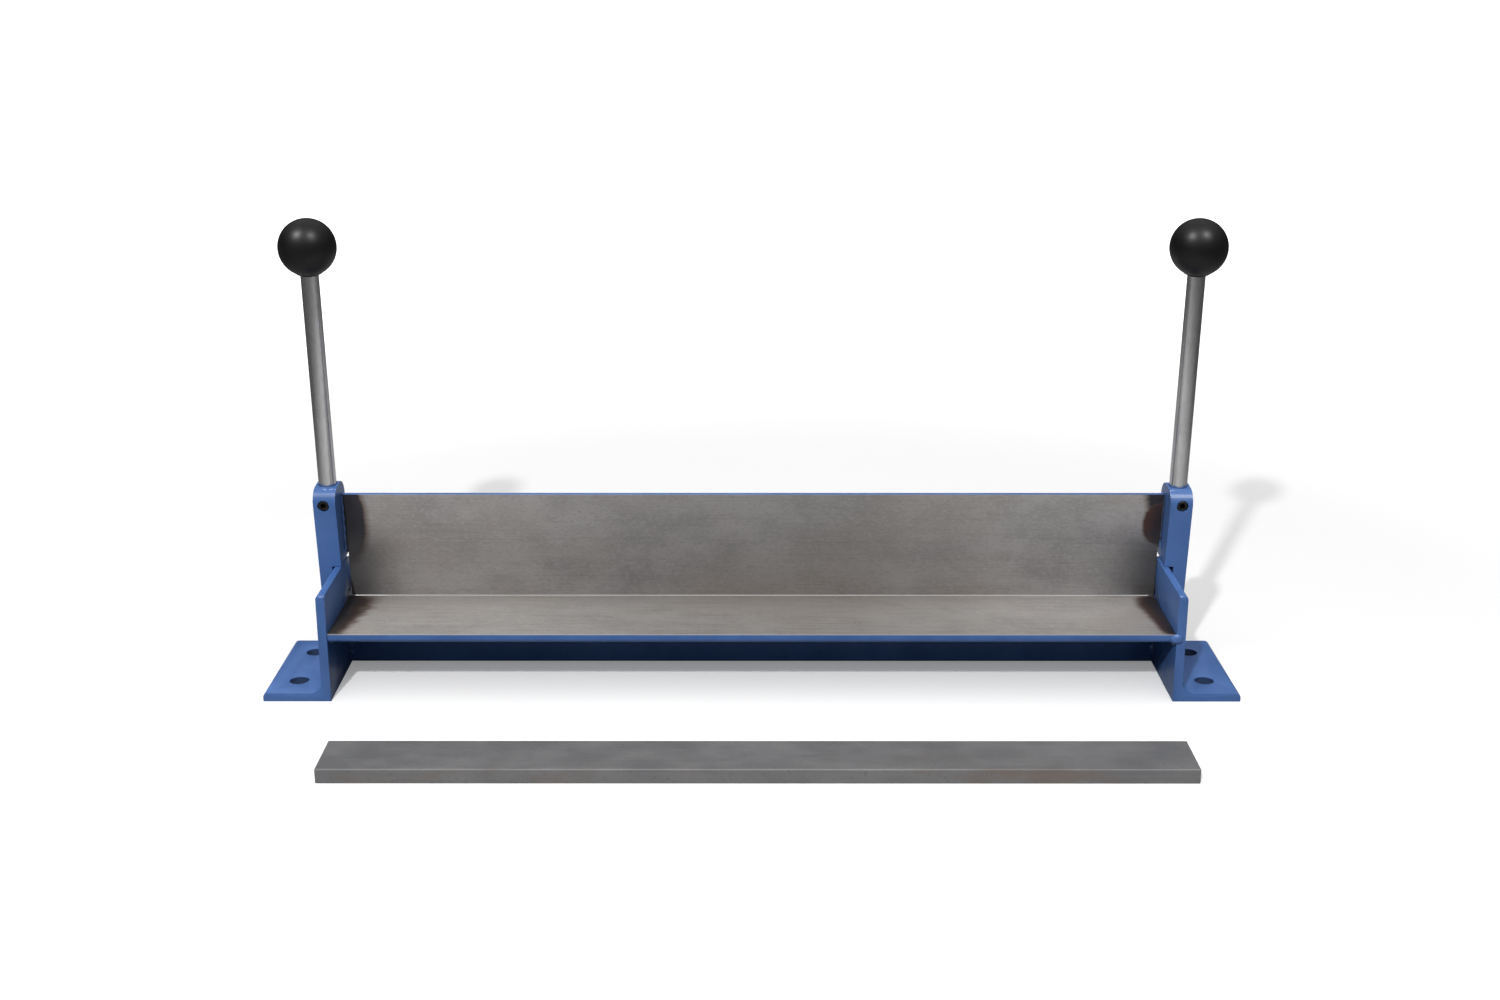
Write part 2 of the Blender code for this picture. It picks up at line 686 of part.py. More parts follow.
clear_scene()
PARTS = new_collection("sheet_metal_brake")
CUTTERS = new_collection("cutters", hidden=True)
make_brake()
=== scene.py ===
import json
import math

import bmesh
import bpy
from mathutils import Matrix, Vector, noise


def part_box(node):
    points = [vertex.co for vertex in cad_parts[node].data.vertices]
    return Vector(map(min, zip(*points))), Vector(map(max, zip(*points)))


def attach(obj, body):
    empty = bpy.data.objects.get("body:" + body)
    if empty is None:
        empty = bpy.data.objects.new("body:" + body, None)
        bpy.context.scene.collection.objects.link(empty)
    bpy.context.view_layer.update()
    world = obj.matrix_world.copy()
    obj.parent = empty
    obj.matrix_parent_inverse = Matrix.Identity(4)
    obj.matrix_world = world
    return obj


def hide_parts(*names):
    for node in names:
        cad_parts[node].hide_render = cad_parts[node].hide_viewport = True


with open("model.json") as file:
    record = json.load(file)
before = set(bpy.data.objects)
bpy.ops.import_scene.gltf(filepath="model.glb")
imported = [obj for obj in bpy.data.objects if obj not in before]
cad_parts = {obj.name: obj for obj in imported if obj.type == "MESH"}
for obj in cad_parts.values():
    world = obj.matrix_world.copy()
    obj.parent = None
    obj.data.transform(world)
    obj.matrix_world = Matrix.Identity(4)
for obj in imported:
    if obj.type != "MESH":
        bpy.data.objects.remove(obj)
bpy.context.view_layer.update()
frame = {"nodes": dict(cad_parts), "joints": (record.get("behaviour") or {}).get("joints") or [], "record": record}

RECORD = frame["record"]
NODES = frame["nodes"]
SIDES = {"left": -1, "right": 1}

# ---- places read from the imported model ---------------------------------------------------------

HINGE = next(joint for joint in frame["joints"] if joint["name"] == "leaf_hinge")
HINGE_POINT = Vector(HINGE["pos_m"])
LEAF_LEAN = math.radians(-HINGE["range_deg"][0] - 90)
LEAF_FRAME = Matrix.Translation(HINGE_POINT) @ Matrix.Rotation(LEAF_LEAN, 4, "X")
LEAF_BACK = LEAF_FRAME.to_3x3() @ Vector((0, 1, 0))
LEAF_UP = LEAF_FRAME.to_3x3() @ Vector((0, 0, 1))


def leaf_box(node):
    """Lowest and highest corner of a node in the leaf's own frame."""
    inverse = LEAF_FRAME.inverted()
    points = [inverse @ vertex.co for vertex in NODES[node].data.vertices]
    low = Vector([min(p[i] for p in points) for i in range(3)])
    high = Vector([max(p[i] for p in points) for i in range(3)])
    return low, high


BED_LOW, BED_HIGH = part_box("bed_angle")
BED_TOP = BED_HIGH.z
STEEL = next(m for m in RECORD["mounts"] if m["name"] == "foot_left_top")["pos_m"][2]
LEAF_LOW, LEAF_HIGH = leaf_box("leaf_angle")

# ---- mesh helpers ------------------------------------------------------------------------------

ROUND_STEPS = 64
SHARP_ANGLE = math.radians(32)  # a piece's edges that turn more than this are drawn sharp


def mesh_piece(name, work, matrix=None):
    """Makes a bmesh a smooth-shaded object of the scene, stood in place by a matrix."""
    bmesh.ops.recalc_face_normals(work, faces=work.faces)
    mesh = bpy.data.meshes.new(name)
    work.to_mesh(mesh)
    work.free()
    mesh.shade_smooth()
    mesh.set_sharp_from_angle(angle=SHARP_ANGLE)
    piece = bpy.data.objects.new(name, mesh)
    bpy.context.scene.collection.objects.link(piece)
    if matrix is not None:
        mesh.transform(matrix)
    return piece


def circle(radius, height, steps=ROUND_STEPS):
    turns = [math.tau * step / steps for step in range(steps)]
    return [Vector((radius * math.cos(t), radius * math.sin(t), height)) for t in turns]


def hexagon(corner_radius, height, steps=ROUND_STEPS):
    """A ring of points on a hexagon, as many as a circle has, so that the two can be joined."""
    ring = []
    sector = math.pi / 3
    for step in range(steps):
        turn = math.tau * step / steps
        off_middle = (turn % sector) - sector / 2
        radius = corner_radius * math.cos(sector / 2) / math.cos(off_middle)
        ring.append(Vector((radius * math.cos(turn), radius * math.sin(turn), height)))
    return ring


def loft(work, rings, close_first=True, close_last=True):
    """Joins rings of equally many points, one after the other, and closes the ends."""
    rows = [[work.verts.new(point) for point in ring] for ring in rings]
    for lower, upper in zip(rows, rows[1:]):
        for i in range(len(lower)):
            j = (i + 1) % len(lower)
            work.faces.new((lower[i], lower[j], upper[j], upper[i]))
    if close_first:
        work.faces.new(list(reversed(rows[0])))
    if close_last:
        work.faces.new(rows[-1])
    return rows


def arc_profile(centre_r, centre_z, radius, start, end, steps):
    """(radius, z) points along an arc of a turned profile, angles in degrees."""
    points = []
    for step in range(steps + 1):
        angle = math.radians(start + (end - start) * step / steps)
        points.append((centre_r + radius * math.cos(angle), centre_z + radius * math.sin(angle)))
    return points


def hide_and_ride(piece, node, body):
    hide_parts(node)
    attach(piece, body)


# ---- node helpers for materials ----------------------------------------------------------------


class NodeTree:
    """Builds the nodes of a tree with few words."""

    def __init__(self, tree):
        self.nodes = tree.nodes
        self.links = tree.links

    def put(self, value, socket):
        if isinstance(value, bpy.types.NodeSocket):
            self.links.new(value, socket)
        elif value is not None:
            socket.default_value = value

    def node(self, kind, *values, **settings):
        made = self.nodes.new(kind)
        for key, setting in settings.items():
            setattr(made, key, setting)
        for value, socket in zip(values, made.inputs):
            self.put(value, socket)
        return made

    def math(self, operation, a, b=None):
        return self.node("ShaderNodeMath", a, b, operation=operation).outputs[0]

    def vector(self, operation, a, b=None):
        made = self.node("ShaderNodeVectorMath", a, b, operation=operation)
        return made.outputs["Value" if operation in ("DOT_PRODUCT", "LENGTH") else "Vector"]

    def split(self, vector):
        return self.node("ShaderNodeSeparateXYZ", vector).outputs

    def noise(self, vector, scale, detail=3.0, roughness=0.55):
        made = self.nodes.new("ShaderNodeTexNoise")
        self.put(vector, made.inputs["Vector"])
        made.inputs["Scale"].default_value = scale
        made.inputs["Detail"].default_value = detail
        made.inputs["Roughness"].default_value = roughness
        return made.outputs[0]

    def between(self, value, low, high, to_low=0.0, to_high=1.0):
        """Maps low..high smoothly to to_low..to_high."""
        made = self.nodes.new("ShaderNodeMapRange")
        made.interpolation_type = "SMOOTHSTEP"
        for number, socket in zip((value, low, high, to_low, to_high), made.inputs):
            self.put(number, socket)
        return made.outputs[0]

    def mix(self, factor, a, b, blend="MIX"):
        made = self.nodes.new("ShaderNodeMix")
        made.data_type = "RGBA"
        made.blend_type = blend
        self.put(factor, made.inputs[0])
        for value, socket in ((a, made.inputs[6]), (b, made.inputs[7])):
            self.put((*value, 1) if isinstance(value, tuple) else value, socket)
        return made.outputs[2]

    def bump(self, height, distance, strength=1.0, under=None):
        made = self.nodes.new("ShaderNodeBump")
        made.inputs["Strength"].default_value = strength
        made.inputs["Distance"].default_value = distance
        self.put(height, made.inputs["Height"])
        if under is not None:
            self.put(under, made.inputs["Normal"])
        return made.outputs[0]


class Shading(NodeTree):
    """A material and its nodes."""

    def __init__(self, name):
        self.material = bpy.data.materials.new(name)
        self.material.use_nodes = True
        super().__init__(self.material.node_tree)
        self.shader = self.nodes["Principled BSDF"]
        self.place = self.nodes.new("ShaderNodeTexCoord").outputs["Object"]

    def stretched(self, scale):
        return self.vector("MULTIPLY", self.place, scale)

    def finish(self, colour, roughness, metallic, normal=None, **plain):
        self.put((*colour, 1) if isinstance(colour, tuple) else colour, self.shader.inputs["Base Color"])
        self.put(roughness, self.shader.inputs["Roughness"])
        self.put(metallic, self.shader.inputs["Metallic"])
        self.put(normal, self.shader.inputs["Normal"])
        for name, value in plain.items():
            self.shader.inputs[name.replace("_", " ")].default_value = value
        return self.material


# ---- materials ---------------------------------------------------------------------------------

PAINT_GLOSS = 0.5
BLUE_LIGHT = (0.072, 0.162, 0.415)
BLUE_DARK = (0.052, 0.130, 0.352)
SOOT = (0.0165, 0.0160, 0.0195)
HEAT_BROWN = (0.095, 0.055, 0.033)
RUST = (0.200, 0.150, 0.120)
# Near-black painted as shade along the hinge gap at the right end of the bed.
GAP_SHADE = (0.012, 0.011, 0.011)
GROUND_METALLIC = 0.30
GROUND_GLOSS = 0.35
BARE_DEPTH = (0.00045, 0.00015)  # how deep in an edge the paint ends and the ground face begins
FLOOR_BOUNCE = 0.08  # how much of the light that lands on the floor it throws back at the object


def toned(shade, colour, factor):
    """The colour times a socket."""
    grey = shade.node("ShaderNodeCombineColor", factor, factor, factor).outputs[0]
    return shade.mix(1.0, colour, grey, "MULTIPLY")


def enamel(shade):
    """Colour, roughness and bump of blue enamel on hot-rolled steel, with painted light: lighter on faces that
    point up, darker on the others.
    """
    cloud = shade.noise(shade.place, 28.0)
    grain = shade.noise(shade.place, 900.0, 2.0)
    peel = shade.noise(shade.place, 260.0, 1.0)
    colour = shade.mix(shade.between(cloud, 0.3, 0.7), BLUE_DARK, BLUE_LIGHT)
    specks = shade.between(grain, 0.64, 0.74, 0.0, 0.4)
    colour = shade.mix(specks, colour, BLUE_LIGHT)
    facing = shade.nodes.new("ShaderNodeTexCoord").outputs["Normal"]
    # Painted light: faces that point up are painted lighter and all other faces darker.
    painted_top_light = shade.between(shade.split(facing)[2], 0.5, 0.9)
    colour = toned(shade, colour, shade.between(painted_top_light, 0.0, 1.0, 0.92, 1.10))
    roughness = shade.between(cloud, 0.2, 0.8, 0.32, 0.40)
    normal = shade.bump(peel, 0.00012, 0.5)
    normal = shade.bump(grain, 0.00004, 0.25, normal)
    return colour, roughness, normal


def blue_paint():
    shade = Shading("blue_enamel")
    colour, roughness, normal = enamel(shade)
    return shade.finish(colour, roughness, 0.0, normal, Specular_IOR_Level=PAINT_GLOSS)


def scorched_paint():
    """The enamel where a weld's heat has burnt it black, above the leaf's relief."""
    shade = Shading("blue_enamel_scorched")
    colour, roughness, normal = enamel(shade)
    offset = shade.vector("SUBTRACT", shade.place, tuple(HINGE_POINT))
    up = shade.vector("DOT_PRODUCT", offset, tuple(LEAF_UP))
    flaking = shade.between(shade.noise(shade.place, 420.0, 3.0), 0.3, 0.7, 0.70, 0.97)
    burnt = shade.math("MULTIPLY", flaking, shade.between(up, 0.0325, 0.0365))
    colour = shade.mix(burnt, colour, SOOT)
    return shade.finish(colour, roughness, 0.0, normal, Specular_IOR_Level=PAINT_GLOSS)


def foot_holes():
    """(|x|, y) of the two bolt holes of a foot, read off the rims in the foot's top face."""
    low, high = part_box("end_bracket_left")
    margin = 0.004
    rims = []
    for vertex in NODES["end_bracket_left"].data.vertices:
        x, y, z = vertex.co
        on_top = abs(z - STEEL) < 1e-5 and low.x + margin < x < BED_LOW.x - 2 * STEEL
        if on_top and low.y + margin < y < high.y - margin:
            rims.append((abs(x), y))
    middle = sum(y for _, y in rims) / len(rims)
    holes = []
    for nearer in (True, False):
        rim = [point for point in rims if (point[1] < middle) == nearer]
        holes.append(tuple((min(axis) + max(axis)) / 2 for axis in zip(*rim)))
    return holes


def bracket_paint():
    """The enamel, with painted shade: the walls of the bolt holes are painted dark."""
    shade = Shading("blue_enamel_bracket")
    colour, roughness, normal = enamel(shade)
    x, y, z = shade.split(shade.place)
    across = shade.math("ABSOLUTE", x)
    nearest = 1.0
    for hole_x, hole_y in foot_holes():
        off_x = shade.math("POWER", shade.math("SUBTRACT", across, hole_x), 2.0)
        off_y = shade.math("POWER", shade.math("SUBTRACT", y, hole_y), 2.0)
        gap = shade.math("SQRT", shade.math("ADD", off_x, off_y))
        nearest = shade.math("MINIMUM", nearest, gap)
    # Painted shade: the walls of the bolt holes, below the foot's top face, are painted dark navy.
    recess_shade = shade.between(nearest, 0.0064, 0.0058)
    recess_shade = shade.math("MULTIPLY", recess_shade, shade.between(z, STEEL, STEEL - 0.0007))
    colour = shade.mix(shade.math("MULTIPLY", recess_shade, 0.75), colour, (0.010, 0.014, 0.026))
    return shade.finish(colour, roughness, 0.0, normal, Specular_IOR_Level=PAINT_GLOSS)


def scorch(shade, from_end, across, size, rim, fringe, core):
    """Where a weld has scorched the end of a face, as (darkness, browning, core colour).

    from_end and across are sockets: how far a point is from the end, and from the scorch's middle
    line. size is (reach, half-length, squareness), rim (softness, raggedness) of its edge, fringe
    (width, strength) of the browning round it."""
    reach, half, squareness = size
    softness, ragged = rim
    streaks = shade.noise(shade.stretched((60.0, 520.0, 520.0)), 1.0, 3.0, 0.6)
    cloud = shade.noise(shade.place, 110.0, 2.0)
    x = shade.math("POWER", shade.math("DIVIDE", shade.math("MAXIMUM", from_end, 0.0), reach), 2.0)
    y = shade.math("DIVIDE", shade.math("ABSOLUTE", across), half)
    edge = shade.math("SQRT", shade.math("ADD", x, shade.math("POWER", y, squareness)))
    edge = shade.math("ADD", edge, shade.between(streaks, 0.3, 0.7, -ragged, ragged))
    edge = shade.math("ADD", edge, shade.between(cloud, 0.3, 0.7, -ragged, ragged))
    darkness = shade.between(edge, 1.0 + softness, 1.0 - softness)
    browning = shade.between(edge, 1.0 + fringe[0], 0.95, 0.0, fringe[1])
    tint = shade.mix(shade.between(shade.math("ADD", cloud, x), 0.35, 1.0), SOOT, core)
    return darkness, browning, tint


def ground(shade, tone, streak, scorches):
    """Steel ground along X, as (colour, roughness, bump, shine); shine is less where it is burnt."""
    lines = shade.noise(shade.stretched((14.0, 1000.0, 1000.0)), 1.0, 4.0, 0.7)
    cloud = shade.noise(shade.stretched((30.0, 44.0, 44.0)), 1.0, 6.0, 0.68)
    patch = shade.noise(shade.stretched((8.0, 16.0, 16.0)), 1.0, 2.0)
    fine = shade.noise(shade.stretched((420.0, 900.0, 900.0)), 1.0, 2.0)
    dark = tuple(0.81 * c for c in tone)
    light = tuple(1.12 * c for c in tone)
    warm = (tone[0] * 1.00, tone[1] * 0.93, tone[2] * 0.86)
    colour = shade.mix(shade.between(cloud, 0.32, 0.70), light, dark)
    colour = shade.mix(shade.between(patch, 0.42, 0.66, 0.0, 0.6), colour, warm)
    colour = shade.mix(shade.between(lines, 0.52, 0.66, 0.0, streak), colour, light)
    colour = shade.mix(shade.between(lines, 0.47, 0.34, 0.0, streak), colour, tuple(0.6 * c for c in warm))
    colour = shade.mix(shade.between(fine, 0.52, 0.70, 0.0, 0.75), colour, light)
    colour = shade.mix(shade.between(fine, 0.46, 0.28, 0.0, 0.75), colour, dark)
    burnt = 0.0
    for darkness, browning, tint in scorches:
        colour = shade.mix(browning, colour, HEAT_BROWN)
        colour = shade.mix(darkness, colour, tint)
        burnt = shade.math("MAXIMUM", burnt, darkness)
    roughness = shade.between(cloud, 0.25, 0.75, 0.42, 0.54)
    roughness = shade.math("ADD", roughness, shade.math("MULTIPLY", burnt, 0.08))
    normal = shade.bump(lines, 0.00002, 0.30)
    return colour, roughness, normal, shade.math("SUBTRACT", 1.0, burnt)


def two_finishes(shade, bare, steel):
    """Lays ground steel over enamel where bare is 1."""
    colour, roughness, normal, shine = steel
    paint_colour, paint_roughness, paint_normal = enamel(shade)
    colour = shade.mix(bare, paint_colour, colour)
    roughness = shade.between(bare, 0.0, 1.0, paint_roughness, roughness)
    metallic = shade.math("MULTIPLY", shade.math("MULTIPLY", bare, shine), GROUND_METALLIC)
    blend = shade.node("ShaderNodeMix", data_type="VECTOR")
    for value, socket in zip((bare, paint_normal, normal), (0, 4, 5)):
        shade.put(value, blend.inputs[socket])
    return shade.finish(colour, roughness, metallic, blend.outputs[1], Specular_IOR_Level=GROUND_GLOSS)


def bed_material():
    shade = Shading("bed_ground_top")
    x, y, z = shade.split(shade.place)
    depth = shade.math("SUBTRACT", BED_TOP, z)
    bare = shade.between(depth, *BARE_DEPTH)
    across = shade.math("SUBTRACT", y, (BED_LOW.y + BED_HIGH.y) / 2 - 0.001)
    to_left = shade.math("SUBTRACT", x, BED_LOW.x)
    to_right = shade.math("SUBTRACT", BED_HIGH.x, x)
    left_reach = shade.between(y, BED_LOW.y, BED_HIGH.y, 0.0075, 0.0152)
    right_reach = shade.between(y, BED_LOW.y, BED_HIGH.y, 0.0065, 0.0118)
    left_size = (left_reach, 0.0350, 6.0)
    right_size = (right_reach, 0.0320, 6.0)
    left_core = (0.030, 0.020, 0.016)
    right_core = (0.040, 0.022, 0.017)
    left = scorch(shade, to_left, across, left_size, (0.30, 0.10), (0.60, 0.80), left_core)
    right = scorch(shade, to_right, across, right_size, (0.22, 0.05), (0.45, 0.70), right_core)
    colour, roughness, normal, shine = ground(shade, (0.335, 0.319, 0.306), 0.75, (left, right))
    # Painted light: the bed is painted lighter towards its rear than its front; it is also darker in the middle
    # and lightest towards its right end.
    painted_light_tone = shade.between(y, BED_LOW.y, BED_HIGH.y, 0.86, 1.38)
    painted_light_tone = shade.math("MULTIPLY", painted_light_tone, shade.between(x, -0.18, -0.02, 1.04, 0.86))
    painted_light_tone = shade.math("MULTIPLY", painted_light_tone, shade.between(x, 0.04, 0.20, 1.0, 1.48))
    colour = toned(shade, colour, painted_light_tone)
    ragged = shade.noise(shade.stretched((160.0, 900.0, 900.0)), 1.0, 3.0)
    from_front = shade.math("SUBTRACT", y, BED_LOW.y)
    from_front = shade.math("ADD", from_front, shade.between(ragged, 0.3, 0.7, -0.0004, 0.0004))
    worn = shade.between(from_front, 0.0013, 0.0006, 0.0, 0.55)
    colour = shade.mix(worn, colour, (0.43, 0.45, 0.50))
    # Painted light and shade along the bed's rear edge at the hinge: a pale line painted where light shows through
    # the gap, and a near-black line painted at the right end.
    rear_edge_strip = shade.between(shade.math("SUBTRACT", BED_HIGH.y, y), 0.0009, 0.0004)
    patchy = shade.between(shade.noise(shade.stretched((30.0, 1.0, 1.0)), 1.0, 2.0), 0.35, 0.65, 0.05, 0.35)
    bright = shade.math("MULTIPLY", rear_edge_strip, shade.math("MULTIPLY", patchy, shade.between(x, 0.19, 0.12)))
    colour = shade.mix(bright, colour, (0.72, 0.70, 0.67))
    black = shade.math("MULTIPLY", rear_edge_strip, shade.between(x, 0.196, 0.206, 0.0, 0.95))
    colour = shade.mix(black, colour, GAP_SHADE)
    return two_finishes(shade, bare, (colour, roughness, normal, shine))


def leaf_material():
    shade = Shading("leaf_ground_face")
    offset = shade.vector("SUBTRACT", shade.place, tuple(HINGE_POINT))
    depth = shade.vector("DOT_PRODUCT", offset, tuple(LEAF_BACK))
    up = shade.vector("DOT_PRODUCT", offset, tuple(LEAF_UP))
    x = shade.split(shade.place)[0]
    bare = shade.between(depth, *BARE_DEPTH)
    to_left = shade.math("SUBTRACT", x, LEAF_LOW.x)
    to_right = shade.math("SUBTRACT", LEAF_HIGH.x, x)
    from_left = shade.math("SUBTRACT", up, 0.0465)
    from_upper = shade.math("SUBTRACT", up, 0.0640)
    from_lower = shade.math("SUBTRACT", up, 0.0450)
    left_size = (0.0124, 0.0240, 2.5)
    upper_size = (0.0092, 0.0130, 4.0)
    lower_size = (0.0108, 0.0125, 3.0)
    left_core = (0.021, 0.020, 0.025)
    lower_core = (0.046, 0.020, 0.016)
    left = scorch(shade, to_left, from_left, left_size, (0.07, 0.02), (0.34, 0.80), left_core)
    upper = scorch(shade, to_right, from_upper, upper_size, (0.20, 0.04), (0.45, 0.60), SOOT)
    lower = scorch(shade, to_right, from_lower, lower_size, (0.10, 0.03), (0.20, 0.50), lower_core)
    scorches = (left, upper, lower)
    colour, roughness, normal, shine = ground(shade, (0.307, 0.297, 0.293), 0.28, scorches)
    # Painted shade: the leaf is painted darker towards its bottom; it is also darker in its middle than at its
    # ends.
    painted_light_tone = shade.between(up, 0.0, LEAF_HIGH.z, 0.88, 1.08)
    end = shade.math("MINIMUM", to_left, to_right)
    dimming = shade.math("MULTIPLY", shade.between(end, 0.05, 0.20), 0.22)
    middle = shade.math("SUBTRACT", 1.0, dimming)
    colour = toned(shade, colour, shade.math("MULTIPLY", painted_light_tone, middle))
    # Darker towards the lower ends of the leaf, beside the brackets.
    low_end_dark = shade.math("MULTIPLY", shade.between(end, 0.040, 0.0), shade.between(up, 0.048, 0.026))
    colour = shade.mix(shade.math("MULTIPLY", low_end_dark, 0.80), colour, (0.050, 0.047, 0.047))
    return two_finishes(shade, bare, (colour, roughness, normal, shine))


def rod_material():
    """Bright drawn bar: fine lines along its length, faint stains round it."""
    shade = Shading("bright_drawn_steel")
    lines = shade.noise(shade.stretched((2500.0, 2500.0, 25.0)), 1.0, 2.0)
    cloud = shade.noise(shade.place, 70.0, 3.0)
    colour = shade.mix(shade.between(lines, 0.3, 0.7), (0.54, 0.54, 0.54), (0.64, 0.64, 0.645))
    colour = shade.mix(shade.between(cloud, 0.5, 0.75, 0.0, 0.3), colour, (0.38, 0.365, 0.35))
    roughness = shade.between(cloud, 0.3, 0.7, 0.18, 0.24)
    return shade.finish(colour, roughness, 1.0, shade.bump(lines, 0.00001, 0.5))


def bar_material():
    """Flat bar as it comes from the mill: scratches, rubbed edges, and rust mostly on its front."""
    shade = Shading("mill_finish_bar")
    lines = shade.noise(shade.stretched((16.0, 700.0, 700.0)), 1.0, 3.0)
    cloud = shade.noise(shade.stretched((34.0, 50.0, 50.0)), 1.0, 5.0, 0.6)
    speck = shade.noise(shade.place, 650.0, 2.0)
    patch = shade.noise(shade.stretched((22.0, 60.0, 60.0)), 1.0, 3.0)
    colour = shade.mix(shade.between(cloud, 0.3, 0.7), (0.182, 0.182, 0.187), (0.222, 0.222, 0.226))
    colour = shade.mix(shade.between(lines, 0.50, 0.70, 0.0, 0.16), colour, (0.30, 0.30, 0.295))
    colour = shade.mix(shade.between(speck, 0.60, 0.72, 0.0, 0.5), colour, (0.120, 0.118, 0.120))
    _, y, z = shade.split(shade.place)
    low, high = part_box("clamping_bar")
    edge_gap = shade.math("MAXIMUM", shade.math("SUBTRACT", y, low.y), shade.math("SUBTRACT", high.z, z))
    rubbed = shade.between(edge_gap, 0.0008, 0.0002, 0.0, 0.5)
    colour = shade.mix(rubbed, colour, (0.34, 0.34, 0.345))
    on_front = shade.between(shade.math("SUBTRACT", y, low.y), 0.0006, 0.0001, 0.25, 1.0)
    rust = shade.math("MULTIPLY", shade.between(patch, 0.52, 0.70, 0.0, 0.55), on_front)
    colour = shade.mix(rust, colour, RUST)
    roughness = shade.between(cloud, 0.3, 0.7, 0.42, 0.56)
    normal = shade.bump(cloud, 0.00005, 0.4)
    return shade.finish(colour, roughness, 0.45, shade.bump(lines, 0.00003, 0.4, normal))


def knob_material():
    """Moulded black phenolic with a satin surface and fine handling marks."""
    shade = Shading("black_phenolic")
    cloud = shade.noise(shade.place, 60.0, 3.0)
    scuff = shade.noise(shade.stretched((300.0, 300.0, 1400.0)), 1.0, 2.0)
    colour = shade.mix(shade.between(cloud, 0.35, 0.7), (0.0055, 0.0055, 0.0062), (0.0085, 0.0085, 0.0092))
    roughness = shade.between(cloud, 0.35, 0.75, 0.40, 0.42)
    normal = shade.bump(scuff, 0.00001, 0.05)
    return shade.finish(colour, roughness, 0.0, normal, Specular_IOR_Level=0.3)


def black_oxide_material():
    shade = Shading("black_oxide")
    cloud = shade.noise(shade.place, 500.0, 3.0)
    colour = shade.mix(shade.between(cloud, 0.35, 0.7), (0.012, 0.012, 0.013), (0.040, 0.037, 0.034))
    roughness = shade.between(cloud, 0.3, 0.7, 0.30, 0.48)
    return shade.finish(colour, roughness, 0.7, shade.bump(cloud, 0.00002, 0.4))


def brass_material():
    shade = Shading("turned_brass")
    lines = shade.noise(shade.stretched((300.0, 300.0, 4000.0)), 1.0, 2.0)
    colour = shade.mix(shade.between(lines, 0.3, 0.7), (0.42, 0.27, 0.085), (0.58, 0.40, 0.15))
    offset = shade.vector("SUBTRACT", shade.place, tuple(HINGE_POINT))
    up = shade.vector("DOT_PRODUCT", offset, tuple(LEAF_UP))
    mouth = leaf_box("knob_insert_left")[0].z
    # Painted shade: the lowest end of the insert, at the mouth of the knob's hole, is painted near-black, matt and
    # not metallic.
    recess_shade = shade.between(up, mouth + 0.0012, mouth + 0.0006)
    colour = shade.mix(recess_shade, colour, (0.012, 0.011, 0.010))
    roughness = shade.between(recess_shade, 0.0, 1.0, shade.between(lines, 0.3, 0.7, 0.28, 0.40), 0.7)
    shine = shade.between(recess_shade, 0.0, 1.0, 1.0, 0.0)
    return shade.finish(colour, roughness, shine, shade.bump(lines, 0.00001, 0.5))


def floor_material():
    """Pale floor that glows with distance when seen directly; mirrored, a pale patch, darker outwards."""
    shade = Shading("pale_floor")
    path = shade.nodes.new("ShaderNodeLightPath").outputs
    seen, mirrored = path["Is Camera Ray"], path["Is Glossy Ray"]
    x, y, _ = shade.split(shade.place)
    forward = shade.math("MULTIPLY", shade.math("ADD", y, 0.15), -1.0)
    along = shade.math("MAXIMUM", shade.math("DIVIDE", forward, 0.33), shade.math("DIVIDE", forward, -0.9))
    across = shade.math("POWER", shade.math("DIVIDE", shade.math("SUBTRACT", x, 0.05), 0.55), 2.0)
    reach = shade.math("SQRT", shade.math("ADD", across, shade.math("POWER", along, 2.0)))
    sheet = shade.between(reach, 0.2, 1.5, 0.56, 0.10)
    paper = shade.between(shade.noise(shade.place, 3.0), 0.3, 0.7, 0.79, 0.80)
    tone = shade.between(mirrored, 0.0, 1.0, FLOOR_BOUNCE, sheet)
    tone = shade.between(seen, 0.0, 1.0, tone, paper)
    # Painted light: seen directly, the floor glows more under and in front of the bed than behind it, which pales
    # the shade there.
    nearby = shade.between(y, 0.10, 0.0, 0.16, 0.33)
    glow = shade.between(shade.vector("LENGTH", shade.place), 0.45, 1.4, nearby, 1.0)
    shade.put((1.0, 1.0, 1.0, 1.0), shade.shader.inputs["Emission Color"])
    shade.put(shade.math("MULTIPLY", seen, glow), shade.shader.inputs["Emission Strength"])
    colour = shade.node("ShaderNodeCombineColor", tone, tone, tone).outputs[0]
    return shade.finish(colour, 0.9, 0.0, Specular_IOR_Level=0.1)


# ---- carried-over steel ------------------------------------------------------------------------

EDGE_BREAK = 0.0001  # twice this folds faces over where an edge turns a tight corner
SLIVER = 0.00006  # an edge shorter than this is merged away before the edges are broken


def soften(node, angle):
    """Takes the sharpness off a CAD node's edges, where two faces meet at more than this angle."""
    obj = NODES[node]
    weld = obj.modifiers.new("weld", "WELD")
    weld.merge_threshold = SLIVER
    edge = obj.modifiers.new("edge_break", "BEVEL")
    edge.width = EDGE_BREAK
    edge.use_clamp_overlap = False
    edge.segments = 3
    edge.limit_method = "ANGLE"
    edge.angle_limit = angle
    edge.harden_normals = True
    obj.data.shade_smooth()


def dress(node, material):
    NODES[node].data.materials.clear()
    NODES[node].data.materials.append(material)


# ---- turned and lofted pieces ------------------------------------------------------------------


def turned_piece(name, profile, matrix):
    """Turns (radius, z) points into a solid, closed with a flat face at its first and last ring."""
    work = bmesh.new()
    loft(work, [circle(radius, height) for radius, height in profile])
    return mesh_piece(name, work, matrix)


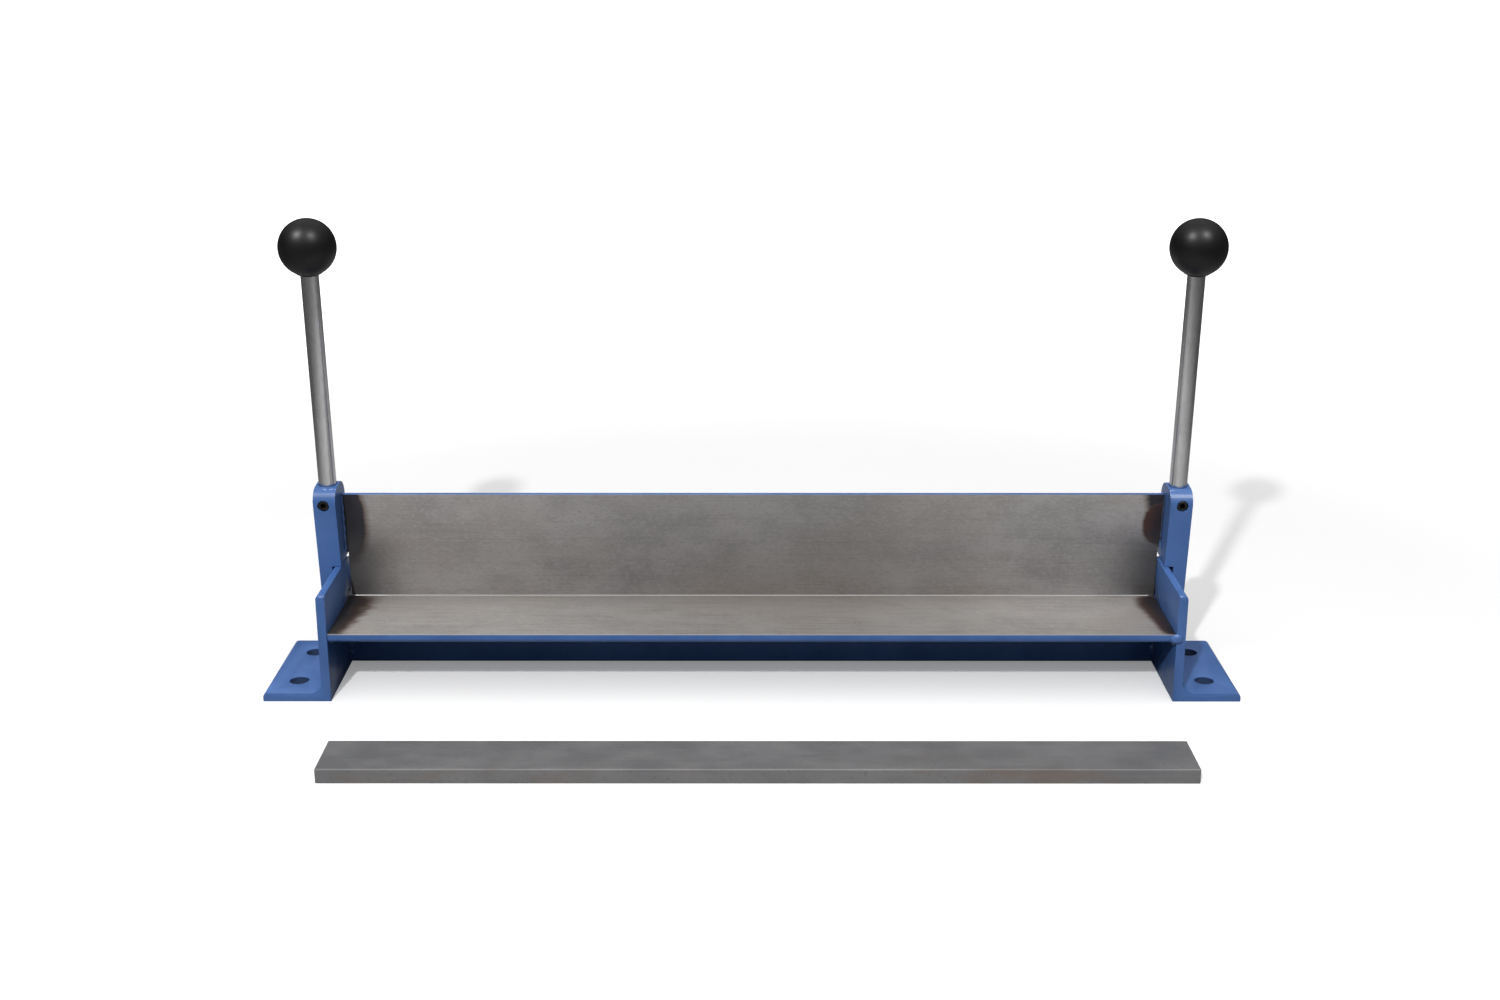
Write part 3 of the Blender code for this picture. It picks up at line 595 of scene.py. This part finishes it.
CHAMFER = 0.0004
KNOB_SHY = 0.0001  # a true ball this much smaller stays inside the box of the faceted one
KNOB_RIM = 0.0005  # radius of the edge between the ball and its flat
KNOB_TOP_ANGLE = 89.7  # degrees; the ball's outline starts just beside its axis
KNOB_STEPS = 56
PIVOT_SOCKET_DEPTH = 0.003


def make_rod(suffix, material):
    node = "lever_rod_" + suffix
    low, high = leaf_box(node)
    centre_x = (low.x + high.x) / 2
    centre_y = (low.y + high.y) / 2
    radius = (high.x - low.x) / 2
    spigot = 0.8 * radius
    knob_low = leaf_box("ball_knob_" + suffix)[0]
    shoulder = knob_low.z - CHAMFER
    profile = [
        (radius - CHAMFER, low.z),
        (radius, low.z + CHAMFER),
        (radius, shoulder - CHAMFER),
        (radius - CHAMFER, shoulder),
        (spigot, shoulder),
        (spigot, high.z - CHAMFER),
        (spigot - CHAMFER, high.z),
    ]
    place = LEAF_FRAME @ Matrix.Translation((centre_x, centre_y, 0))
    rod = turned_piece("rod_" + suffix, profile, place)
    rod.data.materials.append(material)
    hide_and_ride(rod, node, "leaf")


def make_knob(suffix, material):
    node = "ball_knob_" + suffix
    low, high = leaf_box(node)
    centre_x = (low.x + high.x) / 2
    radius = (high.y - low.y) / 2 - KNOB_SHY
    centre_y = (low.y + high.y) / 2
    centre_z = high.z - radius - KNOB_SHY
    flat_z = low.z
    insert_low, insert_high = leaf_box("knob_insert_" + suffix)
    hole = (insert_high.x - insert_low.x) / 2 + CHAMFER / 2
    depth = insert_high.z + CHAMFER
    last = -math.degrees(math.acos(math.sqrt(1 - ((flat_z + KNOB_RIM - centre_z) / radius) ** 2)))
    profile = arc_profile(0, centre_z, radius, KNOB_TOP_ANGLE, last, KNOB_STEPS)
    flat_radius = profile[-1][0]
    profile += arc_profile(flat_radius - KNOB_RIM, flat_z + KNOB_RIM, KNOB_RIM, 0, -90, 4)[1:]
    profile += [(hole + CHAMFER, flat_z), (hole, flat_z + CHAMFER), (hole, depth), (hole / 40, depth)]
    place = LEAF_FRAME @ Matrix.Translation((centre_x, centre_y, 0))
    knob = turned_piece("knob_" + suffix, profile, place)
    knob.data.materials.append(material)
    hide_and_ride(knob, node, "leaf")


def socket_screw(name, sections, socket_corner, socket_depth, place):
    """A screw of (radius, z) sections from its tip to its face, with a hexagon socket in the face."""
    top = sections[-1][1]
    lead = 1.12 * socket_corner
    rings = [circle(radius, height) for radius, height in sections]
    rings.append(circle(lead, top))
    rings.append(hexagon(socket_corner, top - 0.3 * CHAMFER))
    rings.append(hexagon(socket_corner, top - socket_depth))
    rings.append(circle(0.6 * socket_corner, top - socket_depth))
    rings.append(circle(0.02 * socket_corner, top - 1.25 * socket_depth))
    work = bmesh.new()
    loft(work, rings)
    return mesh_piece(name, work, place)


def make_set_screw(suffix, material):
    node = "rod_set_screw_" + suffix
    low, high = leaf_box(node)
    radius = (high.x - low.x) / 2
    length = high.y - low.y
    sections = [(0.5 * radius, 0.0), (radius - CHAMFER, CHAMFER), (radius, 2 * CHAMFER)]
    sections += [(radius, length - CHAMFER), (radius - CHAMFER, length)]
    middle = ((low.x + high.x) / 2, high.y, (low.z + high.z) / 2)
    place = LEAF_FRAME @ Matrix.Translation(middle) @ Matrix.Rotation(math.pi / 2, 4, "X")
    screw = socket_screw("grub_screw_" + suffix, sections, 0.577 * radius, 0.45 * length, place)
    screw.data.materials.append(material)
    hide_and_ride(screw, node, "leaf")


def make_pivot_screw(suffix, side, material):
    node = "pivot_screw_" + suffix
    low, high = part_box(node)
    length = high.x - low.x
    head = (high.z - low.z) / 2
    shank = head / 2
    cone = length - CHAMFER - (head - shank)
    sections = [(shank - 2 * CHAMFER, 0.0), (shank, 2 * CHAMFER), (shank, cone)]
    sections += [(head, length - CHAMFER), (head - 0.5 * CHAMFER, length)]
    tip_x = low.x if side > 0 else high.x
    middle = Vector((tip_x, HINGE_POINT.y, HINGE_POINT.z))
    place = Matrix.Translation(middle) @ Matrix.Rotation(side * math.pi / 2, 4, "Y")
    screw = socket_screw("pivot_" + suffix, sections, 0.36 * head, PIVOT_SOCKET_DEPTH, place)
    screw.data.materials.append(material)
    hide_and_ride(screw, node, "frame")


# ---- weld beads --------------------------------------------------------------------------------

RIPPLE_PITCH = 0.0016
SCALLOP_PITCH = 0.0064
RIPPLE_SAMPLES = 6  # rows of points in one ripple
BEAD_ARC_STEPS = 12
BEAD_SINK = 0.0002  # how far the root of a bead reaches into the corner
BED_ROOT = 0.0065  # radius in the bed's inner corner
ROOT_STEPS = 8
BED_BEAD_RADIUS = 0.0034
BED_BEAD_SETBACK = 0.001  # from the bed's front edge
TACK_SIZE = (0.0034, 0.0016, 0.0027)
TACK_OUT = 0.0004  # how far past the bed's end the tack's middle is
TACK_DROP = 0.0026


def scales(distance, pitch, lean):
    """Height of the overlapping scales of a weld run, 0 to 1, at a distance along it."""
    phase = (distance / pitch - lean) % 1.0
    return 1.0 - (2.0 * abs(phase - 0.32) / 1.36) ** 1.6


def bead_mesh(path, normals, inward, radius, seed):
    """A rippled bead in the corner along a path: it spans from inward to each point's normal."""
    work = bmesh.new()
    rings = []
    travelled = 0.0
    for index, (point, normal) in enumerate(zip(path, normals)):
        if index:
            travelled += (point - path[index - 1]).length
        end_gap = min(index, len(path) - 1 - index) / (2 * RIPPLE_SAMPLES)
        taper = min(1.0, 0.45 + 0.55 * math.sqrt(end_gap))
        sway = noise.noise(Vector((travelled * 150, seed, 0.0)))
        ring = [point - (inward + normal) * BEAD_SINK]
        for step in range(BEAD_ARC_STEPS + 1):
            angle = math.pi / 2 * step / BEAD_ARC_STEPS
            swell = math.sin(2 * angle)
            ripple = scales(travelled, RIPPLE_PITCH, 0.45 * swell)
            scallop = scales(travelled, SCALLOP_PITCH, 0.10 * swell)
            lumps = noise.noise(Vector((travelled * 500, angle * 2, seed)))
            reach = 0.36 + 0.42 * scallop + 0.05 * ripple + 0.07 * sway + 0.03 * lumps
            reach *= radius * taper * (1.0 - 0.08 * swell)
            ring.append(point + reach * (math.cos(angle) * inward + math.sin(angle) * normal))
        rings.append(ring)
    loft(work, rings)
    return work


def resample(points, pitch):
    """Points at even steps along a polyline."""
    lengths = [(b - a).length for a, b in zip(points, points[1:])]
    total = sum(lengths)
    count = max(2, round(total / pitch))
    result = []
    for step in range(count + 1):
        left = total * step / count
        index = 0
        while index < len(lengths) - 1 and left > lengths[index]:
            left -= lengths[index]
            index += 1
        result.append(points[index].lerp(points[index + 1], min(1.0, left / lengths[index])))
    return result


def make_leaf_bead(kind, suffix, side, material, seed):
    node = f"{kind}_{suffix}"
    low, high = leaf_box(node)
    radius = high.x - low.x
    at_back = kind == "leaf_back_weld"
    corner_x = high.x if side > 0 else low.x
    corner_y = low.y if at_back else high.y
    start = Vector((corner_x, corner_y, low.z))
    path = resample([start, Vector((corner_x, corner_y, high.z))], RIPPLE_PITCH / RIPPLE_SAMPLES)
    normal = Vector((0, 1 if at_back else -1, 0))
    work = bead_mesh(path, [normal] * len(path), Vector((-side, 0, 0)), radius, seed)
    bead = mesh_piece(f"{kind}_bead_{suffix}", work, LEAF_FRAME)
    bead.data.materials.append(material)
    hide_and_ride(bead, node, "leaf")


def bed_corner_path(x, low, high):
    """The inner corner under the bed: back along its underside, round the root and down."""
    under = BED_TOP - STEEL
    back = BED_HIGH.y - STEEL
    points = [Vector((x, low.y, under))]
    for step in range(ROOT_STEPS + 1):
        angle = math.pi / 2 * (1 - step / ROOT_STEPS)
        y = back - BED_ROOT + BED_ROOT * math.cos(angle)
        z = under - BED_ROOT + BED_ROOT * math.sin(angle)
        points.append(Vector((x, y, z)))
    points.append(Vector((x, back, low.z)))
    return points


def make_bed_bead(suffix, side, material, seed):
    node = "bed_weld_" + suffix
    low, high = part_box(node)
    corner_x = side * min(abs(BED_HIGH.x), abs(BED_LOW.x))
    start = Vector((0, max(low.y, BED_LOW.y + BED_BEAD_SETBACK), low.z))
    path = resample(bed_corner_path(corner_x, start, high), RIPPLE_PITCH / RIPPLE_SAMPLES)
    normals = []
    for index in range(len(path)):
        before = path[max(0, index - 1)]
        after = path[min(len(path) - 1, index + 1)]
        along = (after - before).normalized()
        normals.append(Vector((0, -along.z, along.y)) * -1)
    work = bead_mesh(path, normals, Vector((-side, 0, 0)), BED_BEAD_RADIUS, seed)
    bead = mesh_piece("bed_bead_" + suffix, work)
    bead.data.materials.append(material)
    hide_and_ride(bead, node, "frame")


def make_front_tack(material):
    """The lump of weld over the seam at the bed's right front corner."""
    work = bmesh.new()
    bmesh.ops.create_icosphere(work, subdivisions=4, radius=1.0)
    for vertex in work.verts:
        lump = 1.0 + 0.16 * noise.noise(vertex.co * 1.7 + Vector((4.0, 0.0, 0.0)))
        vertex.co *= lump
    size = Matrix.Diagonal((*TACK_SIZE, 1.0))
    middle = Vector((BED_HIGH.x + TACK_OUT, BED_LOW.y, BED_TOP - TACK_DROP))
    tack = mesh_piece("front_tack", work, Matrix.Translation(middle) @ size)
    tack.data.materials.append(material)
    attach(tack, "frame")


# ---- object ------------------------------------------------------------------------------------


def dress_object():
    paint = blue_paint()
    bracket = bracket_paint()
    scorched = scorched_paint()
    oxide = black_oxide_material()
    rod = rod_material()
    knob = knob_material()
    brass = brass_material()
    dress("bed_angle", bed_material())
    dress("leaf_angle", leaf_material())
    dress("clamping_bar", bar_material())
    soften("bed_angle", math.radians(50))
    soften("leaf_angle", math.radians(50))
    for seed, (suffix, side) in enumerate(SIDES.items()):
        dress("end_bracket_" + suffix, bracket)
        dress("arm_" + suffix, paint)
        soften("end_bracket_" + suffix, math.radians(80))
        dress("knob_insert_" + suffix, brass)
        make_rod(suffix, rod)
        make_knob(suffix, knob)
        make_set_screw(suffix, oxide)
        make_pivot_screw(suffix, side, oxide)
        make_leaf_bead("leaf_weld", suffix, side, scorched if side > 0 else paint, seed + 1.5)
        make_leaf_bead("leaf_back_weld", suffix, side, paint, seed + 3.5)
        make_bed_bead(suffix, side, paint, seed + 5.5)
    make_front_tack(paint)


# ---- stage -------------------------------------------------------------------------------------

CAMERA_PLACE = (-0.0002, -0.9924, 0.4295)
CAMERA_PITCH = math.radians(17.394)
CAMERA_YAW = math.radians(0.045)
CAMERA_LENS = 46.14
FLOOR_SIZE = 40.0


def make_floor():
    bpy.ops.mesh.primitive_plane_add(size=FLOOR_SIZE, location=(0, 0, 0))
    floor = bpy.context.object
    floor.name = "floor"
    floor.data.materials.append(floor_material())


def make_camera():
    data = bpy.data.cameras.new("camera")
    data.lens = CAMERA_LENS
    data.sensor_width = 36.0
    data.clip_start = 0.01
    camera = bpy.data.objects.new("camera", data)
    bpy.context.scene.collection.objects.link(camera)
    camera.location = CAMERA_PLACE
    camera.rotation_euler = (math.pi / 2 - CAMERA_PITCH, 0, CAMERA_YAW)
    bpy.context.scene.camera = camera


def make_area_light(name, place, size, watts, lights_surfaces=True, shows_in_gloss=True):
    data = bpy.data.lights.new(name, "AREA")
    data.shape = "DISK"
    data.size = size
    data.energy = watts
    lamp = bpy.data.objects.new(name, data)
    bpy.context.scene.collection.objects.link(lamp)
    lamp.location = place
    lamp.rotation_euler = (-Vector(place)).to_track_quat("-Z", "Y").to_euler()
    lamp.visible_diffuse = lights_surfaces
    lamp.visible_glossy = shows_in_gloss


def make_lights():
    make_area_light("key", (-0.487, -1.812, 1.539), 0.09, 39.0, shows_in_gloss=False)
    make_area_light("ceiling_left", (-2.36, -1.82, 3.97), 1.0, 190.0, lights_surfaces=False)
    make_area_light("ceiling_right", (1.44, -1.92, 3.70), 0.8, 115.0, lights_surfaces=False)


def make_world():
    """White to the lens; as a light it is a soft box overhead and a dim room round it."""
    world = bpy.data.worlds.new("studio")
    bpy.context.scene.world = world
    world.use_nodes = True
    shade = NodeTree(world.node_tree)
    background = shade.nodes["Background"]
    direction = shade.nodes.new("ShaderNodeTexCoord").outputs["Generated"]
    x, y, z = shade.split(direction)
    path = shade.nodes.new("ShaderNodeLightPath").outputs
    overhead = shade.between(z, 0.15, 0.85, 0.08, 1.12)
    sides = shade.between(shade.math("ABSOLUTE", x), 0.3, 0.8, 1.0, 0.5)
    overhead = shade.math("MULTIPLY", overhead, sides)
    front = shade.math("MULTIPLY", shade.between(y, -0.3, -0.9), shade.between(z, 0.7, 0.2, 0.0, 0.18))
    dimmed = shade.between(path["Is Glossy Ray"], 0.0, 1.0, 1.0, 0.5)
    room = shade.math("MULTIPLY", shade.math("ADD", overhead, front), dimmed)
    strength = shade.between(path["Is Camera Ray"], 0.0, 1.0, room, 1.0)
    shade.put((1.0, 1.0, 1.0, 1.0), background.inputs["Color"])
    shade.put(strength, background.inputs["Strength"])


dress_object()
make_floor()
make_camera()
make_lights()
make_world()
bpy.context.scene.view_settings.view_transform = "Standard"
